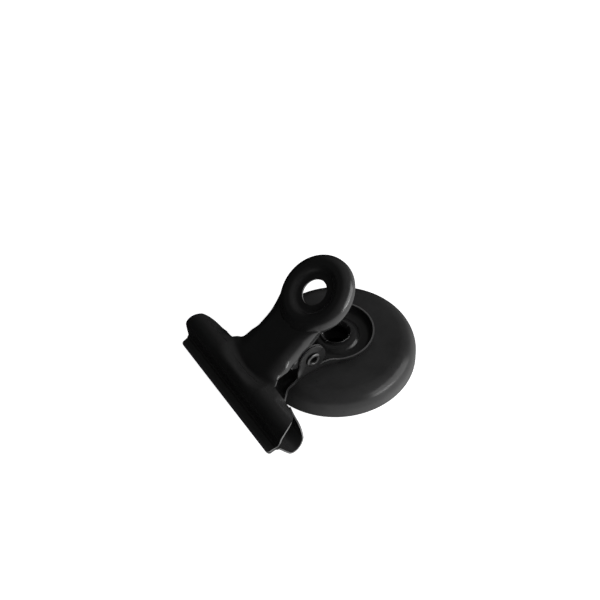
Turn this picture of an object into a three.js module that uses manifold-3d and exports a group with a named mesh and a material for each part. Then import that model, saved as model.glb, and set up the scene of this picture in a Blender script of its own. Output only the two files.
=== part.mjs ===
// A ring-handled bulldog clip riveted to a round pot magnet.
// Two pressed sheet leaves turn on a hollow pin, a torsion spring holds the jaws shut,
// and a tubular rivet holds the lower ring handle to the steel cup of the magnet.
// Millimetres, +Z up, +X towards the jaws, the magnet's face at z = 0.

import * as THREE from 'three';
import { mergeVertices } from 'three/addons/utils/BufferGeometryUtils.js';
import Module from 'manifold-3d';

const wasm = await Module();
wasm.setup();

const degrees = THREE.MathUtils.degToRad;
const mix = THREE.MathUtils.lerp;
const clamp = THREE.MathUtils.clamp;

// Clearances
const contactGap = 0.3;
const pinClearance = 0.3;
const rivetClearance = 0.25;

// Pot magnet
const magnetDiameter = 50;
const magnetHeight = 8;
const cupWall = 1;
const cupEdgeRound = 5.2;
const ringMagnetDiameter = 43;
const ringMagnetChamfer = 1;
const ringMagnetBore = 13;

// Rivet through the lower ring handle and the cup
const rivetDiameter = 7.7;
const rivetWall = 0.5;
const rivetFlareDiameter = 9.6;
const rivetFlareRise = 0.75;
const rivetFlareBend = 0.3;
const rivetSeatGap = 0.15;
const rivetRimHeight = 0.2;
const rivetRimWidth = 0.3;
const rivetRimCrown = 0.08;
const rivetBoreRound = 0.35;
const rivetFootDiameter = 11.2;
const rivetSplits = 7;
const rivetSplitWidth = 0.28;
const rivetSplitDepth = 0.55;

// Pressed sheet of both leaves
const sheet = 0.5;
const mouthAngle = degrees(16.25);

// Ring handle, measured from the plane of its sheet edge
const ringDiameter = 24;
const ringHole = 8.2;
const ringDepth = 3.27;
const floorDepth = 1.12;
const floorDiameter = 12;
const slopeRun = 1.6;
const slopeCut = 1.12;
const crestRound = 2.3;
const roundOverDrop = 2.4;

// Neck between the ring and the jaw, a channel with wide rounded corners
const neckWidth = 18;
const neckCornerRun = 3.3;
const neckCornerDrop = 3.3;
const neckCornerSettle = 4.5;
const neckWidthSettle = 2.75;
const neckFillet = 5;
const neckLean = 0.4;
const neckLeanStart = 1;
const neckFlare = 0.8;
const neckFlareLength = 3.5;
const neckFlareLead = 1.2;
const flangeDepth = 3.1;
const flangeRunOut = 9.2;
const notchDepth = 3.75;
const notchSettle = 3;
const notchRunOut = 5;
const notchRunOutStart = 1;

// Pivot, its ears and its pin
const pivotReach = 14.7;
const pivotDrop = 5.93;
const earRadius = 4.4;
const earRoot = 0.3;
const earFlare = 2.1;
const pinDiameter = 3;
const pinWall = 0.5;
const pinHeadDiameter = 4.7;
const pinHeadHeight = 0.45;
const pinHeadEdge = 0.15;
const pinHeadCrown = 0.35;
const pinBoreRound = 0.3;

// Jaw: a lip, a small step and a half-round bulge, measured from the pivot along the mouth
const jawWidth = 53.9;
const lipReach = 27.1;
const lipLength = 2.7;
const lipCurl = 0.14;
const stepRise = 0.3;
const stepRun = 0.75;
const bulgeReach = 18.57;
const bulgeHalfLength = 3.82;
const bulgeHeight = 5.7;
const bulgeCrown = 2.5;
const bulgeFrom = degrees(18);
const bulgeTo = degrees(169.2);
const jawRearReach = 28.05;
const jawRearDepth = 1.5;
const jawCornerRound = 9.5;
const lipInset = 1.8;
const lipInsetStart = 1.2;
const lipInsetRun = 6.8;
const lipCornerRound = 1.1;
const jawFilletLength = 5;
const jawFilletWidth = 7;
const foldRound = 1.3;
const foldRoundSide = 2.4;
const foldBow = 2;
const foldBowHalf = 10.5;
const foldBowRun = 5.5;
const rearTurnWidth = 5;
const rearHangWidth = 5.5;
const rearCorner = 1;

// Torsion spring
const wireDiameter = 1;
const springMeanDiameter = 5.2;
const springTurns = 7;
const springPitch = 1.5;
const springLegLength = 8;

// Facets
const ringFacetsBehind = 30;
const ringSectionSteps = 6;
const roundOverSteps = 4;
const halfColumns = 8;
const neckRows = 12;
const neckRowCrowding = 0.35;
const foldRowShares = [0.35, -0.19, -0.58, -1.04];
const jawRows = 8;
const jawPathSteps = 18;
const wingColumns = 8;
const wingCrowding = 1.6;
const earPoints = 18;
const earRings = 3;
const roundFacets = 56;
const rivetFacets = 42;
const pinFacets = 24;
const wireSides = 5;
const wireStepsPerTurn = 8;

// Heights of the pressed middle surface above the plane of the ring's sheet edge
const crestHeight = ringDepth - sheet / 2;
const webHeight = crestHeight - floorDepth;
const ringRadius = ringDiameter / 2 - sheet / 2;
const roundOverFoot = crestHeight - roundOverDrop;
const jawFace = contactGap / 2 + sheet / 2;

// Shares that shape the blends: what is left of the neck's section at the fold, and the ring's valley
const flatShare = 0.004;
const valleyShare = 0.6;
const filletPower = 1.8;

// From 0 to 1 with level ends
function smooth(x) {
  const t = clamp(x, 0, 1);
  return t * t * (3 - 2 * t);
}

// Quarter of a rounded corner, from 0 to 1 and steepest at its end
function cornerRise(x) {
  return 1 - (1 - clamp(x, 0, 1) ** filletPower) ** (1 / filletPower);
}

// A 2-D line through corner points, each corner rounded by a quadratic curve of the given cut
function softPath(corners) {
  const path = new THREE.Path();
  path.moveTo(corners[0][0], corners[0][1]);
  for (let i = 1; i < corners.length - 1; i++) {
    const [x, y, cut] = corners[i];
    const here = new THREE.Vector2(x, y);
    const before = new THREE.Vector2(corners[i - 1][0], corners[i - 1][1]).sub(here).setLength(cut).add(here);
    const after = new THREE.Vector2(corners[i + 1][0], corners[i + 1][1]).sub(here).setLength(cut).add(here);
    path.lineTo(before.x, before.y);
    path.quadraticCurveTo(here.x, here.y, after.x, after.y);
  }
  const last = corners[corners.length - 1];
  path.lineTo(last[0], last[1]);
  return path;
}

// Handle coordinates are (a, v, h): a from the ring's centre to the jaw, v across, h out of the clip.
// Leaf coordinates are (u, v, w): u from the pivot along the closed mouth, w out of the mouth.
function toLeaf(a, v, h) {
  const along = a - pivotReach;
  const rise = h + pivotDrop;
  const u = along * Math.cos(mouthAngle) + rise * Math.sin(mouthAngle);
  const w = -along * Math.sin(mouthAngle) + rise * Math.cos(mouthAngle);
  return new THREE.Vector3(u, v, w);
}

function toHandle(u, w) {
  const a = pivotReach + u * Math.cos(mouthAngle) - w * Math.sin(mouthAngle);
  const h = u * Math.sin(mouthAngle) + w * Math.cos(mouthAngle) - pivotDrop;
  return [a, h];
}

// Jaw profile from the lip's edge over the bulge to the rear edge, in handle coordinates (a, h)
function jawProfile() {
  const heel = lipReach - lipLength;
  const bulgeMiddle = bulgeHeight - bulgeCrown;
  const stepTop = jawFace + stepRise;
  const bulgeFoot = [
    bulgeReach + bulgeHalfLength * Math.cos(bulgeFrom),
    bulgeMiddle + bulgeCrown * Math.sin(bulgeFrom),
  ];
  const path = softPath([
    [lipReach, jawFace + lipCurl],
    [lipReach - lipLength / 3, jawFace, lipLength / 6],
    [heel, jawFace, lipLength / 10],
    [heel - stepRun / 3, stepTop, stepRun / 4],
    [heel - stepRun, stepTop, stepRun / 3],
    bulgeFoot,
  ]);
  path.absellipse(bulgeReach, bulgeMiddle, bulgeHalfLength, bulgeCrown, bulgeFrom, bulgeTo, false, 0);
  const points = path.getPoints(jawPathSteps).map((p) => toHandle(p.x, p.y));
  const last = points[points.length - 1];
  const top = Math.min(last[1] - foldRound, webHeight + foldRound);
  const rear = new THREE.Path();
  rear.moveTo(points[0][0], points[0][1]);
  for (const [a, h] of points.slice(1)) rear.lineTo(a, h);
  rear.quadraticCurveTo(jawRearReach, last[1], jawRearReach, top);
  rear.lineTo(jawRearReach, webHeight - jawRearDepth);
  return rear;
}

const jawPath = jawProfile();
const jawLength = jawPath.getLength();
const jawToWeb = jawLength - jawRearDepth;

function jawPoint(s) {
  if (s > jawLength) return [jawRearReach, webHeight - jawRearDepth - (s - jawLength)];
  const p = jawPath.getPointAt(clamp(s / jawLength, 0, 1));
  return [p.x, p.y];
}

// How far a round corner of a given radius draws an edge in, at a distance past its start
function roundInset(radius, into) {
  return radius - Math.sqrt(radius ** 2 - clamp(into, 0, radius) ** 2);
}

// Half-width of the jaw's blank at a distance s from the lip's edge
function jawHalfWidth(s) {
  const inset = lipInset * (1 - smooth((s - lipInsetStart) / lipInsetRun));
  const lipCorner = roundInset(lipCornerRound, lipCornerRound - s);
  return jawWidth / 2 - inset - lipCorner - roundInset(jawCornerRound, s - jawLength + jawCornerRound);
}

// Shift of the fold towards the jaw, greatest in the middle of the neck
function foldShift(v) {
  return foldBow * Math.max(0, 1 - (v / foldBowHalf) ** 2);
}

// Channel section: flat top, elliptical corner, upright wall; q is the length across the sheet
function channel(q, half, run, drop) {
  const flat = half - run;
  const quarter = (Math.PI / 2) * Math.sqrt((run * run + drop * drop) / 2);
  const x = q - flat;
  if (x <= 0) return [q, 0];
  if (x >= quarter) return [half, drop + x - quarter];
  const turn = (x / quarter) * (Math.PI / 2);
  return [flat + run * Math.sin(turn), drop * (1 - Math.cos(turn))];
}

// Length across the sheet at which the channel has dropped by a given depth
function channelReach(depth, half, run, drop) {
  const flat = half - run;
  const quarter = (Math.PI / 2) * Math.sqrt((run * run + drop * drop) / 2);
  if (depth >= drop) return flat + quarter + depth - drop;
  return flat + (quarter * Math.acos(1 - depth / drop)) / (Math.PI / 2);
}

// The pressed leaf as a grid of patches on its middle surface
function leafSurface(half) {
  const vertices = [];
  const quads = [];
  const add = (point) => vertices.push(point) - 1;
  // Plan of the side fillet between the ring and the neck
  const filletMiddle = Math.sqrt((ringRadius + neckFillet) ** 2 - (half + neckFillet) ** 2);
  const joinAngle = Math.atan2(half + neckFillet, filletMiddle);
  const joinHalf = ringRadius * Math.sin(joinAngle);
  const joinDrop = webHeight - roundOverFoot;
  const joinShare = channelReach(joinDrop, joinHalf, neckCornerRun, joinDrop)
    / channelReach(webHeight, joinHalf, neckCornerRun, joinDrop);

  // Shares of a half row: the web and corner in equal turns, then one step down the wall
  const shares = [];
  for (let j = 0; j <= halfColumns; j++) shares.push((joinShare * j) / halfColumns);
  shares.push(1);
  const columns = shares.length - 1;

  // Section of the neck at a distance a: wall behind the ears, an opening arch in front of them
  const flangeEdge = channel(channelReach(flangeDepth, half, neckCornerRun, neckCornerDrop),
    half, neckCornerRun, neckCornerDrop)[0];
  const flat = half - neckCornerRun;
  const runOutStart = jawRearReach - flangeRunOut;
  const leanStart = ringRadius + neckLeanStart;
  const ringBow = ringRadius * (1 - Math.cos(joinAngle));
  const flareAt = (a) => neckFlare * smooth((a - runOutStart + neckFlareLead) / neckFlareLength);
  function neckRow(a) {
    const past = a - ringRadius;
    const lead = smooth((a - leanStart) / (runOutStart - leanStart));
    const narrow = mix(joinHalf, half, Math.min(1, past / neckWidthSettle));
    const wall = mix(notchDepth, flangeDepth, smooth((a - pivotReach - notchRunOutStart) / notchRunOut));
    const open = clamp((a - runOutStart) / (flangeRunOut - foldRound), 0, 1);
    const closing = Math.max(flatShare, 1 - open ** 1.5);
    const fillet = jawFilletWidth * cornerRise((a - jawRearReach + jawFilletLength) / jawFilletLength);
    const widen = (flangeEdge + flareAt(a) + fillet - flat) / (flangeEdge - flat);
    return {
      a,
      half: flat + (narrow - flat) * widen,
      run: neckCornerRun * widen,
      drop: mix(joinDrop, neckCornerDrop, smooth(past / neckCornerSettle)) * closing,
      edge: mix(webHeight, wall, smooth(past / notchSettle)) * closing,
      bow: ringBow * (1 - lead) ** 2,
      lead,
    };
  }

  // One point of a neck row, in handle coordinates
  function neckPlace(share, row) {
    const reach = channelReach(row.edge, row.half, row.run, row.drop);
    const [v, fall] = channel(share * reach, row.half, row.run, row.drop);
    const turn = Math.min(1, share / joinShare) * joinAngle;
    const bow = (row.bow * (1 - Math.cos(turn))) / (1 - Math.cos(joinAngle));
    return new THREE.Vector3(row.a + row.lead * fall * neckLean - bow, v, webHeight - fall);
  }

  // The fold between web and jaw: x runs from the jaw (below 0) onto the neck or the free rear edge
  const cornerRow = neckRow(jawRearReach - rearCorner);
  const joinEdge = neckPlace(1, cornerRow).y;
  function bulgePlace(x, v) {
    const [a, h] = jawPoint(jawToWeb + x);
    return new THREE.Vector3(a + foldShift(v) * smooth(1 + x / foldBowRun), v, h);
  }
  function foldPlace(x, v, cut, flap) {
    if (x <= -cut) return bulgePlace(x, v);
    const t = (x + cut) / (2 * cut);
    const corner = new THREE.Vector3(jawRearReach + foldShift(v), v, webHeight);
    const place = bulgePlace(-cut, v).multiplyScalar((1 - t) ** 2);
    return place.addScaledVector(corner, 2 * t * (1 - t)).addScaledVector(flap, t * t);
  }
  function webPlace(share, x) {
    const place = neckPlace(share, neckRow(jawRearReach - x));
    place.x += foldShift(place.y) * smooth(1 - x / foldBowRun);
    return place;
  }
  function stripPlace(share, x) {
    const cut = mix(foldRound, foldRoundSide, smooth(share));
    if (x >= cut) return webPlace(share, x);
    const v = neckPlace(share, cornerRow).y;
    return foldPlace(x, v, cut, webPlace(share, cut));
  }
  function wingPlace(v, x) {
    const cut = foldRoundSide;
    const turn = (Math.PI / 2) * smooth((v - joinEdge) / rearTurnWidth);
    const away = neckPlace(1, neckRow(jawRearReach - cut));
    const flap = new THREE.Vector3(
      jawRearReach - cut * Math.cos(turn),
      v + (away.y - joinEdge) * Math.cos(turn),
      webHeight - cut * Math.sin(turn) - (webHeight - away.z) * Math.cos(turn),
    );
    return foldPlace(x, v, cut, flap);
  }

  // Distance of the free rear edge behind the fold, past the corner of the fillet
  function rearEdge(v) {
    const filletEnd = flangeEdge + neckFlare + jawFilletWidth;
    const rest = jawFilletLength * cornerRise((filletEnd - v) / jawFilletWidth);
    const cornerRest = jawFilletLength * cornerRise((filletEnd - joinEdge) / jawFilletWidth);
    return rest + rearCorner - cornerRest + jawRearDepth * smooth((v - joinEdge) / rearHangWidth);
  }

  // Rows from the ring's join over the neck and the fold to the lip
  const stations = [];
  for (let i = 0; i <= neckRows; i++) {
    const share = mix(i / neckRows, 1 - (1 - i / neckRows) ** 2, neckRowCrowding);
    stations.push(mix(jawRearReach - ringRadius, rearCorner, share));
  }
  stations.push(rearCorner * foldRowShares[0]);
  for (const share of foldRowShares.slice(1)) stations.push(foldRoundSide * share);
  const foldEnd = stations[stations.length - 1];
  const stepEnd = lipLength + stepRun * 4 / 3;
  for (let i = 1; i <= jawRows; i++) stations.push(mix(foldEnd, stepEnd - jawToWeb, i / jawRows));
  const lipRows = [lipLength + stepRun / 2, lipLength * 0.96, lipCornerRound, lipCornerRound * 0.3, 0];
  for (const s of lipRows) stations.push(s - jawToWeb);
  const grid = stations.map((x) => {
    const line = [];
    for (let j = -columns; j <= columns; j++) {
      const p = stripPlace(shares[Math.abs(j)], x);
      line.push(add(toLeaf(p.x, j < 0 ? -p.y : p.y, p.z)));
    }
    return line;
  });
  for (let i = 0; i + 1 < grid.length; i++) {
    for (let j = 0; j < 2 * columns; j++) {
      quads.push([grid[i][j], grid[i][j + 1], grid[i + 1][j + 1], grid[i + 1][j]]);
    }
  }

  // Jaw beyond the strip, out to the rounded ends
  for (const side of [-1, 1]) {
    let previous = null;
    for (let i = neckRows; i < stations.length; i++) {
      const x = stations[i];
      const line = [grid[i][side < 0 ? 0 : 2 * columns]];
      for (let k = 1; k <= wingColumns; k++) {
        const share = (k / wingColumns) ** wingCrowding;
        let v = mix(joinEdge, jawHalfWidth(jawToWeb + x), share);
        const back = x > 0 ? (x / rearCorner) * rearEdge(v) : x;
        v = mix(joinEdge, jawHalfWidth(jawToWeb + back), share);
        const p = wingPlace(v, back);
        line.push(add(toLeaf(p.x, side * p.y, p.z)));
      }
      if (previous) {
        for (let k = 0; k < wingColumns; k++) {
          const quad = [previous[k], previous[k + 1], line[k + 1], line[k]];
          quads.push(side > 0 ? quad : quad.reverse());
        }
      }
      previous = line;
    }
  }

  // Ring handle: rings of points from the hole out to the join and the wall
  const section = softPath([
    [ringHole / 2, webHeight],
    [floorDiameter / 2, webHeight, slopeCut],
    [floorDiameter / 2 + slopeRun, crestHeight, slopeCut],
    [ringRadius - crestRound, crestHeight],
  ]);
  const angles = [];
  for (let j = -halfColumns; j <= halfColumns; j++) angles.push((joinAngle * j) / halfColumns);
  for (let k = 1; k < ringFacetsBehind; k++) {
    angles.push(joinAngle + ((2 * Math.PI - 2 * joinAngle) * k) / ringFacetsBehind);
  }
  const ringRow = neckRow(ringRadius);
  const joinCount = 2 * halfColumns;
  const turnsOf = angles.map((angle, index) => {
    const turn = Math.abs(angle > Math.PI ? angle - 2 * Math.PI : angle);
    const ahead = index <= joinCount;
    const share = shares[Math.abs(index - halfColumns)];
    const line = [];
    for (let k = 0; k <= ringSectionSteps; k++) {
      const p = section.getPointAt(k / ringSectionSteps);
      line.push(add(toLeaf(p.x * Math.cos(angle), p.x * Math.sin(angle), p.y)));
    }
    let foot = roundOverFoot;
    if (ahead) {
      const reach = channelReach(ringRow.edge, ringRow.half, ringRow.run, ringRow.drop);
      foot = webHeight - channel(share * reach, ringRow.half, ringRow.run, ringRow.drop)[1];
    }
    const valley = smooth((1 - turn / joinAngle) / valleyShare);
    for (let k = 1; k < roundOverSteps; k++) {
      const t = Math.sin(((k / roundOverSteps) * Math.PI) / 2);
      const round = 1 - Math.sqrt(Math.max(0, 1 - t * t));
      const fall = mix(round, smooth(t), valley);
      const radius = ringRadius - crestRound * (1 - t);
      const h = crestHeight - (crestHeight - foot) * fall;
      line.push(add(toLeaf(radius * Math.cos(angle), radius * Math.sin(angle), h)));
    }
    if (ahead) line.push(grid[0][1 + index]);
    else line.push(add(toLeaf(ringRadius * Math.cos(angle), ringRadius * Math.sin(angle), foot)));
    return line;
  });
  const steps = ringSectionSteps + roundOverSteps;
  for (let i = 0; i < turnsOf.length; i++) {
    const here = turnsOf[i];
    const next = turnsOf[(i + 1) % turnsOf.length];
    for (let k = 0; k < steps; k++) quads.push([here[k], here[k + 1], next[k + 1], next[k]].reverse());
  }

  // Wall of the ring from the round-over down to the sheet edge
  const wallTop = [grid[0][2 * columns - 1]];
  const wallFoot = [grid[0][2 * columns]];
  for (let i = joinCount + 1; i < turnsOf.length; i++) {
    wallTop.push(turnsOf[i][steps]);
    wallFoot.push(add(toLeaf(ringRadius * Math.cos(angles[i]), ringRadius * Math.sin(angles[i]), 0)));
  }
  wallTop.push(grid[0][1]);
  wallFoot.push(grid[0][0]);
  for (let i = 0; i + 1 < wallTop.length; i++) {
    quads.push([wallTop[i], wallTop[i + 1], wallFoot[i + 1], wallFoot[i]]);
  }

  // Ears: a web of points between the pin hole and the lobe's outline
  const holeRadius = pinDiameter / 2 + pinClearance;
  const earHalf = (a, h) => {
    const fall = webHeight + pivotDrop - h;
    const reach = channelReach(fall, half, neckCornerRun, neckCornerDrop);
    const settled = smooth((fall - flangeDepth) / flangeDepth);
    return channel(reach, half, neckCornerRun, neckCornerDrop)[0] + flareAt(a + pivotReach) * (1 - settled);
  };
  const earRows = [];
  for (let i = 0; i <= neckRows; i++) {
    const edge = vertices[grid[i][2 * columns]];
    const [a] = toHandle(edge.x, edge.z);
    if (a > pivotReach - earRadius - earRoot && a < pivotReach + earRadius + earFlare) earRows.push(i);
  }
  for (const side of [-1, 1]) {
    const loop = earRows.map((i) => {
      const index = grid[i][side < 0 ? 0 : 2 * columns];
      const [a, h] = toHandle(vertices[index].x, vertices[index].z);
      return { index, a: a - pivotReach, h: h + pivotDrop };
    });
    const rearAngle = Math.atan2(loop[0].h, loop[0].a);
    const front = loop[loop.length - 1];
    const frontAngle = Math.atan2(front.h, front.a);
    const rearReach = Math.hypot(loop[0].a, loop[0].h);
    const frontReach = Math.hypot(front.a, front.h);
    const sweep = 2 * Math.PI - (rearAngle - frontAngle);
    for (let k = 1; k < earPoints; k++) {
      const angle = frontAngle - (sweep * k) / earPoints;
      const up = Math.sin(angle);
      let reach = earRadius;
      if (up > 0 && Math.cos(angle) > 0) {
        reach = mix(earRadius, frontReach, (up / Math.sin(frontAngle)) ** 2);
      } else if (up > 0) {
        reach = mix(earRadius, rearReach, (up / Math.sin(rearAngle)) ** 2);
      }
      const a = reach * Math.cos(angle);
      const h = reach * up;
      loop.push({ index: add(toLeaf(a + pivotReach, side * earHalf(a, h), h - pivotDrop)), a, h });
    }
    let previous = loop.map((p) => p.index);
    for (let r = 1; r <= earRings; r++) {
      const line = loop.map((p) => {
        const reach = Math.hypot(p.a, p.h);
        const scale = mix(1, holeRadius / reach, r / earRings);
        const a = p.a * scale;
        const h = p.h * scale;
        return add(toLeaf(a + pivotReach, side * earHalf(a, h), h - pivotDrop));
      });
      for (let k = 0; k < loop.length; k++) {
        const n = (k + 1) % loop.length;
        const quad = [previous[k], previous[n], line[n], line[k]];
        quads.push(side > 0 ? quad.reverse() : quad);
      }
      previous = line;
    }
  }
  return { vertices, quads };
}

// Give a quad surface the sheet's thickness, half to each side, and close its open edges
function thicken({ vertices, quads }, thickness) {
  const normals = vertices.map(() => new THREE.Vector3());
  for (const quad of quads) {
    const [p, q, r, s] = quad.map((i) => vertices[i]);
    const normal = r.clone().sub(p).cross(s.clone().sub(q));
    for (const i of quad) normals[i].add(normal);
  }
  const count = vertices.length;
  const positions = [];
  for (const sign of [1, -1]) {
    vertices.forEach((p, i) => {
      const n = normals[i].clone().normalize();
      positions.push(...p.clone().addScaledVector(n, (sign * thickness) / 2).toArray());
    });
  }
  const triangles = [];
  const edges = new Map();
  for (const quad of quads) {
    const [p, q, r, s] = quad;
    triangles.push(p, q, r, p, r, s);
    triangles.push(p + count, r + count, q + count, p + count, s + count, r + count);
    for (let k = 0; k < 4; k++) {
      const from = quad[k];
      const to = quad[(k + 1) % 4];
      const back = `${to} ${from}`;
      if (edges.has(back)) edges.delete(back);
      else edges.set(`${from} ${to}`, [from, to]);
    }
  }
  for (const [from, to] of edges.values()) {
    triangles.push(from, from + count, to + count, from, to + count, to);
  }
  const geometry = new THREE.BufferGeometry();
  geometry.setAttribute('position', new THREE.Float32BufferAttribute(positions, 3));
  geometry.setIndex(triangles);
  return geometry;
}

// Mirror image across the closed mouth, with the faces turned back outwards
function mirrored(geometry) {
  const copy = geometry.clone().scale(1, 1, -1);
  const index = copy.index.array;
  for (let i = 0; i < index.length; i += 3) {
    const swap = index[i];
    index[i] = index[i + 1];
    index[i + 1] = swap;
  }
  return copy;
}

function toManifold(geometry) {
  const bare = geometry.index ? geometry.clone() : mergeVertices(geometry);
  for (const name of Object.keys(bare.attributes)) {
    if (name !== 'position') bare.deleteAttribute(name);
  }
  const merged = mergeVertices(bare, 1e-4);
  return new wasm.Manifold(
    new wasm.Mesh({
      numProp: 3,
      vertProperties: new Float32Array(merged.attributes.position.array),
      triVerts: new Uint32Array(merged.index.array),
    }),
  );
}

function fromManifold(solid) {
  const { vertProperties, triVerts } = solid.getMesh();
  const geometry = new THREE.BufferGeometry();
  geometry.setAttribute('position', new THREE.Float32BufferAttribute(vertProperties, 3));
  geometry.setIndex(Array.from(triVerts));
  return geometry;
}

// A ring of revolution about +Z from a closed outline of (radius, z) points
function turned(outline, segments = roundFacets) {
  const points = outline.map(([radius, z]) => new THREE.Vector2(radius, z));
  points.push(points[0].clone());
  const geometry = new THREE.LatheGeometry(points, segments);
  geometry.rotateX(Math.PI / 2);
  return geometry;
}

function arc(cx, cy, rx, ry, from, to, steps) {
  const points = [];
  for (let i = 0; i <= steps; i++) {
    const angle = degrees(mix(from, to, i / steps));
    points.push([cx + rx * Math.cos(angle), cy + ry * Math.sin(angle)]);
  }
  return points;
}

const cupHoleRadius = rivetDiameter / 2 + rivetClearance;

// Steel cup: a flat top that rolls over to an upright wall, open below
function magnetCup() {
  const radius = magnetDiameter / 2;
  const inside = cupEdgeRound - cupWall;
  return turned([
    [radius, 0],
    ...arc(radius - cupEdgeRound, magnetHeight - cupEdgeRound, cupEdgeRound, cupEdgeRound, 0, 90, 7),
    [cupHoleRadius, magnetHeight],
    [cupHoleRadius, magnetHeight - cupWall],
    ...arc(radius - cupEdgeRound, magnetHeight - cupEdgeRound, inside, inside, 90, 0, 5),
    [radius - cupWall, 0],
  ]);
}

function ringMagnet() {
  const radius = ringMagnetDiameter / 2;
  const top = magnetHeight - cupWall - contactGap;
  return turned([
    [radius, 0],
    [radius, top - ringMagnetChamfer],
    [radius - ringMagnetChamfer, top],
    [ringMagnetBore / 2, top],
    [ringMagnetBore / 2, 0],
  ]);
}

// Tubular rivet: a foot rolled out under the cup's top and a flare split on its rim
function magnetRivet() {
  const outer = rivetDiameter / 2;
  const innerRadius = outer - rivetWall;
  const floorTop = handlePlane - webHeight + sheet / 2;
  const footTop = magnetHeight - cupWall - contactGap;
  const flareFoot = floorTop + rivetSeatGap;
  const rim = flareFoot + rivetFlareRise;
  const out = rivetFlareDiameter / 2;
  const body = turned([
    [outer, footTop],
    [outer, flareFoot - rivetFlareBend],
    [outer + rivetFlareBend, flareFoot + rivetFlareBend / 2],
    [out, rim - rivetRimHeight],
    [out, rim],
    [out - rivetRimWidth, rim + rivetRimCrown],
    [innerRadius + rivetWall * 0.8, rim - rivetBoreRound],
    [innerRadius, flareFoot - rivetBoreRound * 2],
    [innerRadius, footTop - rivetWall + rivetFlareBend],
    [innerRadius + rivetBoreRound, footTop - rivetWall],
    [rivetFootDiameter / 2, footTop - rivetWall],
    [rivetFootDiameter / 2, footTop],
  ], rivetFacets);
  let solid = toManifold(body);
  for (let i = 0; i < rivetSplits; i++) {
    const cutter = new THREE.BoxGeometry(rivetSplitDepth * 2, rivetSplitWidth, rivetFlareRise * 3);
    cutter.translate(out, 0, rim);
    cutter.rotateZ((2 * Math.PI * (i + 0.4)) / rivetSplits);
    solid = solid.subtract(toManifold(cutter));
  }
  return fromManifold(solid);
}

// Hollow pin with a flared head at each end, along Y
function pivotPin() {
  const outer = pinDiameter / 2;
  const innerRadius = outer - pinWall;
  const head = pinHeadDiameter / 2;
  const seat = outerEarHalf + sheet / 2 + contactGap;
  const top = seat + pinHeadHeight;
  const end = [
    [outer, seat - pinHeadEdge],
    [head, seat],
    [head, seat + pinHeadEdge],
    [outer + pinHeadCrown, top],
    [innerRadius + pinBoreRound, top],
    [innerRadius, top - pinBoreRound],
  ];
  const outline = [...end, ...end.map(([radius, z]) => [radius, -z]).reverse()];
  const geometry = turned(outline, pinFacets);
  geometry.rotateX(Math.PI / 2);
  return geometry;
}

// Torsion spring wire: a leg, the coil about Y and the other leg, in leaf coordinates
class SpringWire extends THREE.Curve {
  constructor() {
    super();
    this.radius = springMeanDiameter / 2;
    const rest = webHeight + pivotDrop - sheet / 2 - contactGap - wireDiameter / 2;
    const legReach = Math.hypot(springLegLength, this.radius);
    const lean = Math.asin(rest / legReach) - Math.atan(this.radius / springLegLength);
    this.start = mouthAngle + lean - Math.PI / 2;
    this.sweep = springTurns * 2 * Math.PI - 2 * this.start;
    this.coil = this.sweep * this.radius;
    this.total = this.coil + 2 * springLegLength;
  }

  getPoint(t, target = new THREE.Vector3()) {
    const along = t * this.total - springLegLength;
    const share = clamp(along / this.coil, 0, 1);
    const angle = this.start + share * this.sweep;
    const over = along - share * this.coil;
    const y = (share - 0.5) * (this.sweep / (2 * Math.PI)) * springPitch;
    const x = this.radius * Math.cos(angle) - over * Math.sin(angle);
    const z = this.radius * Math.sin(angle) + over * Math.cos(angle);
    return target.set(x, y, z);
  }
}

// Least gap between the wire's turns, on points of its axis more than half a turn apart
function leastWireGap(wire, stepCount) {
  const points = wire.getSpacedPoints(stepCount * 4);
  const apart = Math.round((Math.PI * wire.radius * 4 * stepCount) / wire.total);
  let least = Infinity;
  for (let i = 0; i < points.length; i++) {
    for (let j = i + apart; j < points.length; j++) {
      least = Math.min(least, points[i].distanceTo(points[j]));
    }
  }
  return least - wireDiameter;
}

function torsionSpring() {
  const wire = new SpringWire();
  const section = new THREE.Shape();
  for (let i = 0; i < wireSides; i++) {
    const angle = (2 * Math.PI * i) / wireSides;
    const x = (wireDiameter / 2) * Math.cos(angle);
    const y = (wireDiameter / 2) * Math.sin(angle);
    if (i === 0) section.moveTo(x, y);
    else section.lineTo(x, y);
  }
  section.closePath();
  const steps = Math.round((wire.total / (2 * Math.PI * wire.radius)) * wireStepsPerTurn);
  console.log(`least gap between the spring's turns: ${leastWireGap(wire, steps).toFixed(2)} mm`);
  return new THREE.ExtrudeGeometry(section, { steps, bevelEnabled: false, extrudePath: wire });
}

// Places that follow from the sizes
const handlePlane = magnetHeight + contactGap + ringDepth;
const innerEarHalf = neckWidth / 2 - sheet / 2;
const outerEarHalf = innerEarHalf + sheet + contactGap;

const finish = {
  leaf: new THREE.MeshStandardMaterial({ color: 0x111112, roughness: 0.42, metalness: 0.35 }),
  cup: new THREE.MeshStandardMaterial({ color: 0x1b1c1e, roughness: 0.55, metalness: 0.25 }),
  ferrite: new THREE.MeshStandardMaterial({ color: 0x2a2a2c, roughness: 0.8, metalness: 0.1 }),
  rivet: new THREE.MeshStandardMaterial({ color: 0x141415, roughness: 0.4, metalness: 0.5 }),
  spring: new THREE.MeshStandardMaterial({ color: 0x3a3a3c, roughness: 0.35, metalness: 0.9 }),
};

function named(name, geometry, material) {
  const mesh = new THREE.Mesh(geometry, material.clone());
  mesh.name = name;
  return mesh;
}

const assembly = new THREE.Group();
assembly.add(named('magnet_cup', magnetCup(), finish.cup));
assembly.add(named('magnet_ring', ringMagnet(), finish.ferrite));
assembly.add(named('magnet_rivet', magnetRivet(), finish.rivet));

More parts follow.
